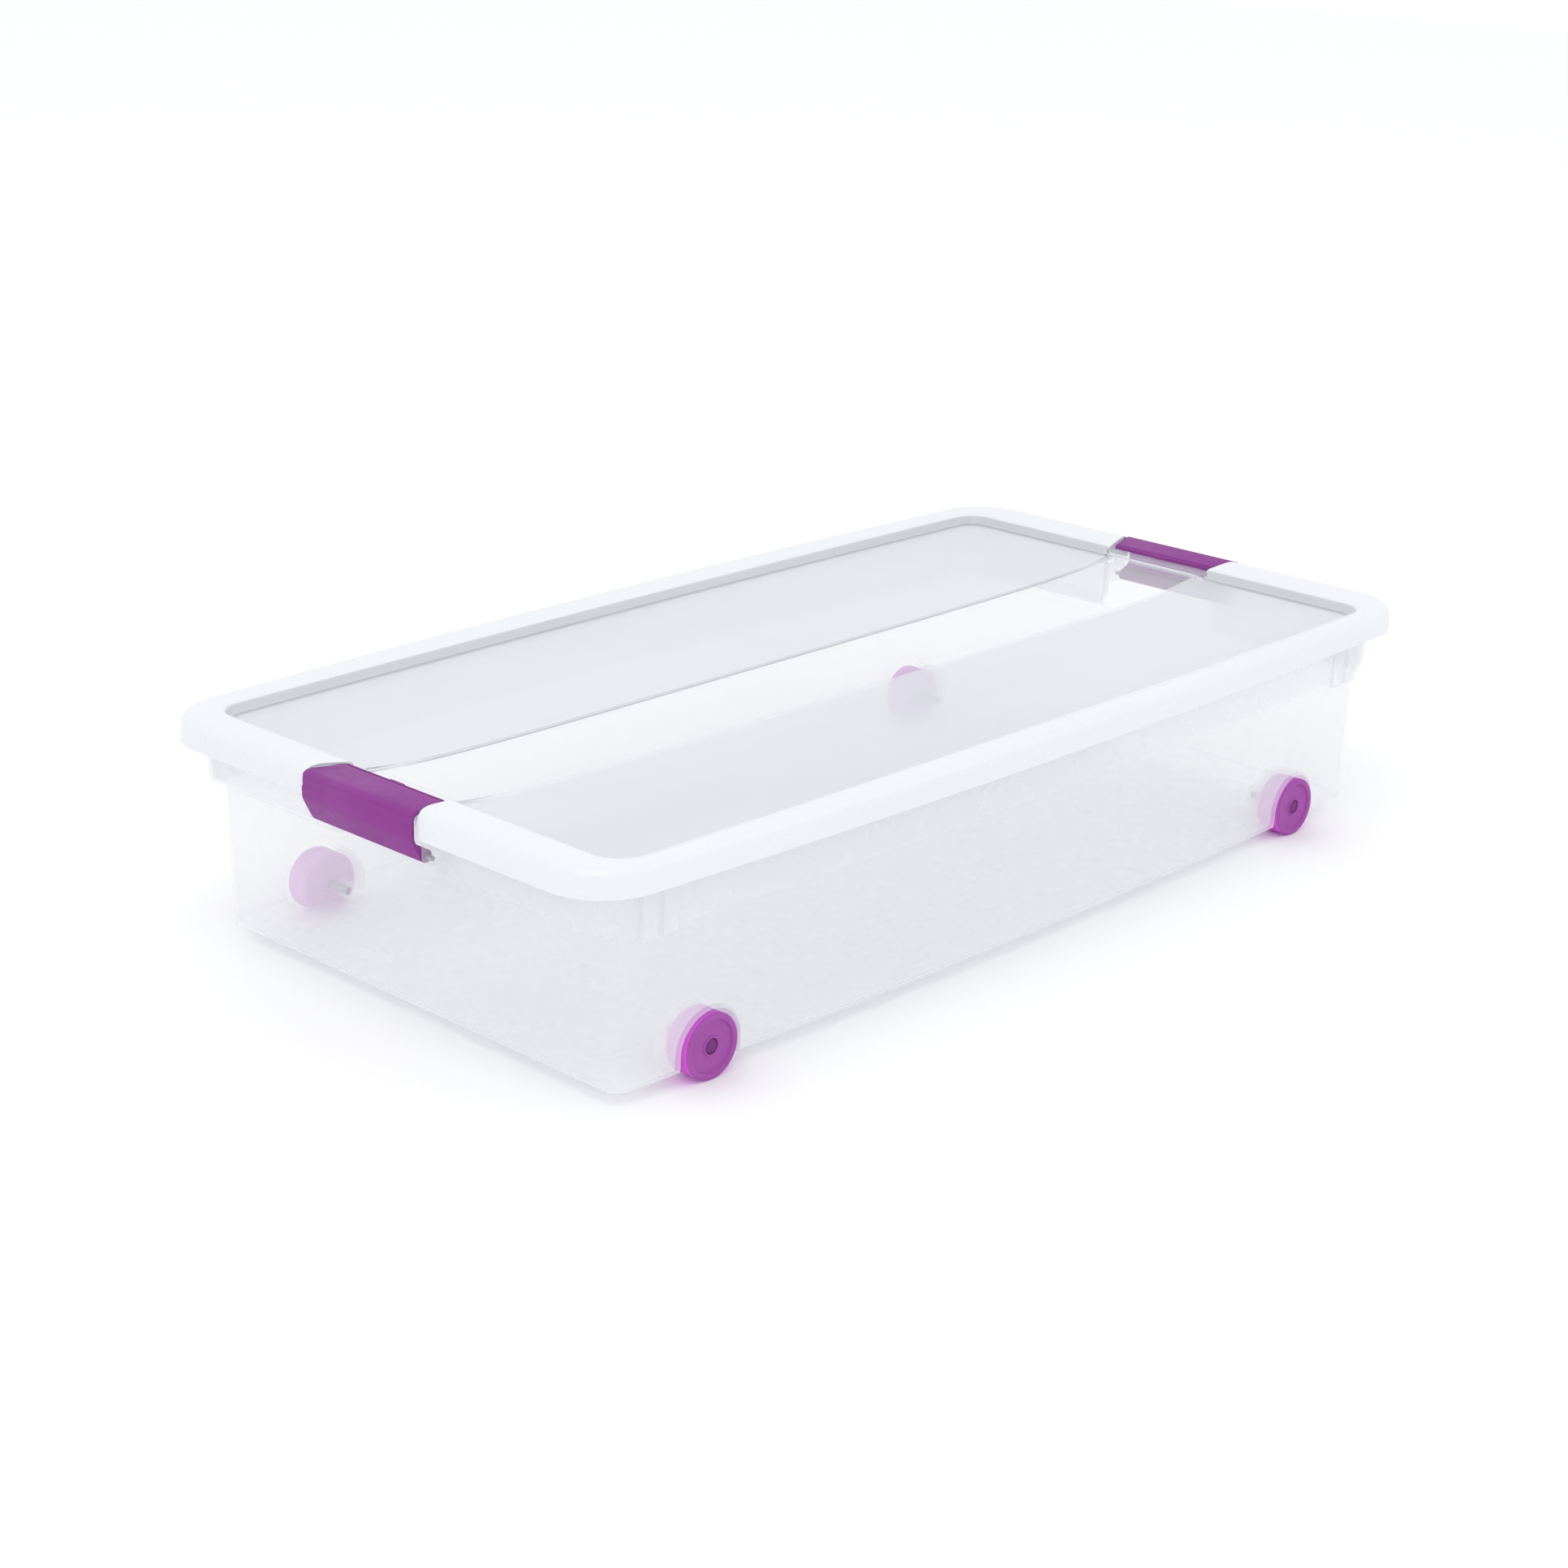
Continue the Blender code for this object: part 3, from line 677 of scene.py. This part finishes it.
def make_tub():
    bm = bmesh.new()
    rings = [ring(section, POCKET_X if section.z < POCKET_TOP else NO_POCKET) for section in TUB_SECTIONS]
    loops = add_loft(bm, rings)
    bm.faces.new(list(reversed(loops[0])))
    for face in bm.faces:
        middle = face.calc_center_median() / MM
        height = middle.z - GROUND_CLEARANCE
        in_pocket = abs(middle.x) > POCKET_WALL_X and abs(middle.y) < POCKET_HALF
        if height < FLOOR_TOP:
            face.material_index = TUB_FLOOR_SLOT
        elif height > COLLAR_LOW:
            face.material_index = CLEAR_SLOT if in_pocket else COLLAR_SLOT
        else:
            face.material_index = TUB_WALL_SLOT
    tub = new_object("tub_moulding", mesh_from(bm, "tub_moulding"), parts)
    dress(tub, TUB_PLASTIC, BASE_PLASTIC, COLLAR_PLASTIC, BAND_PLASTIC)
    thicken(tub, TUB_WALL)
    add_housings(tub)
    add_ribs(tub)
    add_lugs(tub)
    plan = [(400.0, -RIM_CUT_HALF), (460.0, -RIM_CUT_HALF), (460.0, RIM_CUT_HALF), (400.0, RIM_CUT_HALF)]
    gap = prism("rim_gap", plan, RIM_CUT_HEIGHT, ABOVE_ALL, upright=False)
    combine(tub, mirrored(gap, True, False), "DIFFERENCE")
    finished(tub)
    place_piece(tub, "tub", "tub")


# ---------------------------------------------------------------- lid

def notch_half(x):
    """Half the width of the latch notch at this x; it widens outwards."""
    return NOTCH_HALF + NOTCH_SLOPE * (x - HALF_LENGTH)


def add_latch_seat(lid):
    """The notch that a latch closes over, its cheeks and the ledge that the latch lip holds down."""
    outer_x = 455.0
    plan = [(NOTCH_INNER_X, -notch_half(NOTCH_INNER_X)), (outer_x, -notch_half(outer_x)),
            (outer_x, notch_half(outer_x)), (NOTCH_INNER_X, notch_half(NOTCH_INNER_X))]
    notch = prism("latch_notch", plan, 140.0, ABOVE_ALL, upright=False)
    combine(lid, mirrored(notch, True, False), "DIFFERENCE")
    cheek_outline = [(405.2, LEDGE_UNDER), (441.2, LEDGE_UNDER), (440.3, 159.3), (437.4, 161.7),
                     (432.0, 162.4), (412.0, 160.1), (408.8, 159.0), (406.6, 157.0)]
    start = NOTCH_HALF - NOTCH_SLOPE * HALF_LENGTH - PLAY
    cheek = prism("notch_cheek", cheek_outline, start, start + CHEEK, shear=NOTCH_SLOPE)
    paint(cheek, BAND_SLOT)
    combine(lid, mirrored(cheek, True, True), "UNION")
    ledge_outline = [(401.0, 152.5), (403.2, 152.5), (403.2, LEDGE_UNDER), (418.0, LEDGE_UNDER),
                     (418.0, 152.0), (LEDGE_END_X, 152.0), (LEDGE_END_X, LEDGE_TOP - 0.8),
                     (LEDGE_END_X - 0.8, LEDGE_TOP), (401.0, LEDGE_TOP)]
    ledge = prism("ledge", ledge_outline, -LEDGE_HALF, LEDGE_HALF)
    paint(ledge, BAND_SLOT)
    combine(lid, mirrored(ledge, True, False), "UNION")


def make_lid():
    bm = bmesh.new()
    loops = add_loft(bm, [ring(section) for section in LID_SECTIONS + (PANEL_SECTION,)])
    step = {vertex for loop in loops[FIRST_STEP_RING:] for vertex in loop}
    panel = fill_panel(bm, loops[-1])
    # The inner wall of the rim, from the first step ring down to the panel, takes the painted shade
    for face in bm.faces:
        if all(vertex in step for vertex in face.verts):
            face.material_index = PAINTED_SHADE_SLOT
    # Panel faces: the clear band, the frosted panel and, between them, a narrow strip of painted shade at the
    # band's edge
    for face in panel:
        across = abs(face.calc_center_median().y) / MM
        if across < BAND_HALF - 0.4:
            face.material_index = BAND_SLOT
        elif across > BAND_HALF + 0.5:
            face.material_index = FROST_SLOT
        else:
            face.material_index = PAINTED_SHADE_SLOT
    lid = new_object("lid_moulding", mesh_from(bm, "lid_moulding"), parts)
    dress(lid, RIM_PLASTIC, FROST_PLASTIC, BAND_PLASTIC, STEP_PAINTED_SHADE)
    thicken(lid, LID_WALL)
    add_latch_seat(lid)
    finished(lid)
    place_piece(lid, "lid", "lid")


# ---------------------------------------------------------------- latches

def latch_outline():
    """Side view of a latch: lip, rounded shoulder, ridged face and the barrel that it turns on."""
    shoulder_x = 440.0
    shoulder_z = 156.0
    face_x = 446.0
    outside = [(LATCH_TIP_X, 160.2), (412.5, 160.7), (413.6, 160.8), (413.9, 160.1), (415.2, 160.2),
               (415.5, 161.0), (419.0, 161.2), (426.0, 161.5), (433.0, 161.8)]
    outside += arc(shoulder_x, shoulder_z, face_x - shoulder_x, 90, 35, 9)
    outside += arc(shoulder_x, shoulder_z, face_x - shoulder_x - GROOVE, 28, 0, 5)
    outside += [(face_x - GROOVE, 152.2), (face_x, 151.0), (face_x, 145.0), (445.7, 143.2), (444.9, 141.2),
                (443.2, 137.8), (441.4, 134.2), (439.6, 130.6)]
    barrel = arc(PIN_X, PIN_Z, BARREL_RADIUS, -24, -260, 36)
    inner = face_x - shoulder_x - LATCH_WALL
    inside = [(437.8, 136.0), (440.2, 137.4), (442.0, 139.6), (face_x - LATCH_WALL, 143.5)]
    inside += arc(shoulder_x, shoulder_z, inner, 0, 90, 10)
    inside += [(426.0, 158.7), (LATCH_TIP_X, 158.0)]
    return outside + barrel + inside


def make_latch(name, side):
    """A latch over its ledge; side is +1 at the +X end and -1 at the -X end."""
    body = prism(name + "_moulding", latch_outline(), -LATCH_HALF, LATCH_HALF)
    slope = (LATCH_HALF - LATCH_TIP_HALF) / (LATCH_TAPER_X - LATCH_TIP_X)
    plan = [(LATCH_TIP_X - 10, LATCH_TIP_HALF - 10 * slope), (LATCH_TAPER_X + 10, LATCH_HALF + 10 * slope),
            (LATCH_TAPER_X + 10, LATCH_HALF + 10), (LATCH_TIP_X - 10, LATCH_HALF + 10)]
    combine(body, mirrored(prism("taper", plan, 150.0, 170.0, upright=False), False, True), "DIFFERENCE")
    nub_outline = [(LATCH_TIP_X - NUB_REACH, 158.4), (LATCH_TIP_X + 4, 159.2), (LATCH_TIP_X + 4, 160.4),
                   (LATCH_TIP_X - NUB_REACH, 160.2)]
    combine(body, prism("nub", nub_outline, -NUB_HALF, NUB_HALF), "UNION")
    combine(body, rod("bore", PIN_RADIUS + PLAY, -LATCH_HALF - 2, LATCH_HALF + 2, PIN_X, PIN_Z), "DIFFERENCE")
    round_edges(body, 0.35)
    finished(body, sharp=50.0)
    parts.objects.link(body)
    cutters.objects.unlink(body)
    dress(body, LATCH_PLASTIC, LATCH_BACK_PAINTED_LIGHT)
    # Inward faces above the barrel take the lighter purple, a painted light on the latch's shaded inside
    for face in body.data.polygons:
        above_barrel = face.center.x > INNER_X * MM and face.center.z > to_world(0, 0, INNER_LOW).z
        face.material_index = 1 if above_barrel and face.normal.x < -0.3 else 0
    if side < 0:
        body.data.transform(Matrix.Rotation(math.pi, 4, "Z"))
    place_piece(body, name, name)


# ---------------------------------------------------------------- wheels

def wheel_profile():
    """Half section of a wheel as (radius, depth below its outer face), anticlockwise."""
    bore = AXLE_RADIUS + PLAY
    tread = WHEEL_RADIUS
    points = [(bore, -3.0), (5.6, -3.0), (5.6, -1.1), (5.9, -0.8), (6.6, -0.8), (6.9, -1.1), (7.4, -2.0)]
    points += [(17.6, -2.0), (18.1, -1.8), (18.7, -0.3), (19.1, 0.0)]
    points += [(tread - 1.2 + 1.2 * math.sin(turn), -1.2 + 1.2 * math.cos(turn))
               for turn in (math.pi / 2 * step / 5 for step in range(6))]
    points += [(tread, -6.0), (tread - 0.25, -6.3), (tread - 0.25, -14.0), (tread, -14.3), (tread, -19.0)]
    points += [(tread - 0.4, -19.8), (tread - 1.2, -20.2), (tread - 2.8, -20.2), (tread - 3.2, -19.8)]
    points += [(tread - 3.6, -17.5), (tread - 4.1, -17.0), (8.2, -17.0), (7.6, -17.6)]
    points += [(6.8, -21.6), (6.4, -22.0), (bore, -22.0)]
    return points


def axle_profile():
    """Half section of an axle pin, whose domed head sits in the hub of the wheel."""
    return [(0.0, -0.85), (2.0, -0.95), (3.8, -1.2), (4.8, -1.6), (5.2, -2.1), (5.2, -2.6),
            (AXLE_RADIUS, -2.6), (AXLE_RADIUS, 0.8 - AXLE_DEPTH), (AXLE_RADIUS - 0.7, -AXLE_DEPTH),
            (0.0, -AXLE_DEPTH)]


def lathe(name, profile, closed, steps=96):
    """A body of revolution about Y with its outer face at the origin, looking to -Y."""
    bm = bmesh.new()
    rings = []
    for step in range(steps):
        turn = 2 * math.pi * step / steps
        circle = []
        for radius, depth in profile:
            if radius == 0 and step > 0:
                circle.append(rings[0][len(circle)])
            else:
                point = Vector((radius * math.cos(turn), -depth, radius * math.sin(turn)))
                circle.append(bm.verts.new(point * MM))
        rings.append(circle)
    count = len(profile)
    for step in range(steps):
        here = rings[step]
        there = rings[(step + 1) % steps]
        for i in range(count if closed else count - 1):
            j = (i + 1) % count
            corners = [here[i], here[j], there[j], there[i]]
            unique = [corner for number, corner in enumerate(corners) if corner not in corners[:number]]
            bm.faces.new(unique)
    # Faces off the outer face take the second material; on a wheel that is the lighter purple, painted as
    # light on its shaded hidden parts
    for face in bm.faces:
        middle = face.calc_center_median() / MM
        shown = middle.y < 1.5 or (middle.y < 3.2 and math.hypot(middle.x, middle.z) < 19.0)
        face.material_index = 0 if shown else 1
    bmesh.ops.recalc_face_normals(bm, faces=bm.faces)
    obj = new_object(name, mesh_from(bm, name), parts)
    obj.data.shade_smooth()
    obj.data.set_sharp_from_angle(angle=math.radians(40))
    return obj


def make_wheel(corner, side_x, side_y):
    place = Matrix.Translation(to_world(side_x * WHEEL_X, side_y * WHEEL_FACE_Y, AXLE_HEIGHT))
    turn = Matrix.Rotation(math.pi if side_y > 0 else 0.0, 4, "Z")
    for kind, profile, closed, materials, body in (
            ("wheel_", wheel_profile(), True, (WHEEL_PLASTIC, WHEEL_HIDDEN_PAINTED_LIGHT), "wheel_" + corner),
            ("axle_pin_", axle_profile(), False, (AXLE_PLASTIC, AXLE_PLASTIC), "tub")):
        piece = lathe(kind + corner + "_turned", profile, closed)
        piece.data.transform(place @ turn)
        dress(piece, *materials)
        place_piece(piece, body, kind + corner)


# ---------------------------------------------------------------- stage

def make_floor():
    bpy.ops.mesh.primitive_plane_add(size=14.0, location=(0, 0, 0))
    floor = bpy.context.object
    floor.name = "floor"
    nodes = Nodes("pale_floor")
    nodes.set(Roughness=0.9, Base_Color=(0.97, 0.97, 0.97, 1))
    dress(floor, nodes.material)


def make_light(name, place, target, size, power, colour):
    data = bpy.data.lights.new(name, "AREA")
    data.shape = "DISK"
    data.size = size
    data.energy = power
    data.color = colour
    light = bpy.data.objects.new(name, data)
    light.location = place
    light.rotation_euler = (Vector(target) - Vector(place)).to_track_quat("-Z", "Y").to_euler()
    bpy.context.scene.collection.objects.link(light)


def make_studio():
    world = bpy.data.worlds.new("studio")
    world.use_nodes = True
    world.node_tree.nodes["Background"].inputs["Color"].default_value = (0.985, 0.99, 1.0, 1)
    world.node_tree.nodes["Background"].inputs["Strength"].default_value = 1.03
    bpy.context.scene.world = world
    make_light("key", (-1.6, -0.8, 3.0), (0, 0, 0.1), 2.2, 16, (1.0, 0.99, 0.98))
    make_light("fill", (1.8, -2.4, 2.2), (0, 0, 0.1), 2.5, 5, (0.98, 0.99, 1.0))
    view = bpy.context.scene.view_settings
    view.view_transform = "Standard"
    view.look = "None"
    # A line of sight crosses up to a dozen see-through surfaces, which the usual limits would turn dark
    paths = bpy.context.scene.cycles
    paths.transparent_max_bounces = 32
    paths.diffuse_bounces = 12


CAMERA_PLACE = (-1.5392, -1.4141, 0.8114)
CAMERA_YAW = math.radians(46.575)
CAMERA_PITCH = math.radians(19.583)
CAMERA_ROLL = math.radians(1.0675)
CAMERA_LENS = 67.155


def make_camera():
    ahead = Vector((math.sin(CAMERA_YAW) * math.cos(CAMERA_PITCH),
                    math.cos(CAMERA_YAW) * math.cos(CAMERA_PITCH),
                    -math.sin(CAMERA_PITCH)))
    level = Vector((math.cos(CAMERA_YAW), -math.sin(CAMERA_YAW), 0))
    above = level.cross(ahead)
    right = level * math.cos(CAMERA_ROLL) + above * math.sin(CAMERA_ROLL)
    up = above * math.cos(CAMERA_ROLL) - level * math.sin(CAMERA_ROLL)
    data = bpy.data.cameras.new("camera")
    data.lens = CAMERA_LENS
    camera = bpy.data.objects.new("camera", data)
    bpy.context.scene.collection.objects.link(camera)
    turn = Matrix((right, up, -ahead)).transposed().to_4x4()
    camera.matrix_world = Matrix.Translation(CAMERA_PLACE) @ turn
    bpy.context.scene.camera = camera


# ---------------------------------------------------------------- build

make_camera()
make_studio()
make_floor()
make_tub()
make_lid()
for end, side_x in (("left", -1), ("right", 1)):
    make_latch("latch_" + end, side_x)
    dress(frame["nodes"]["latch_pin_" + end], STEEL)
    for depth, side_y in (("front", -1), ("back", 1)):
        make_wheel(depth + "_" + end, side_x, side_y)
clear_cutters()
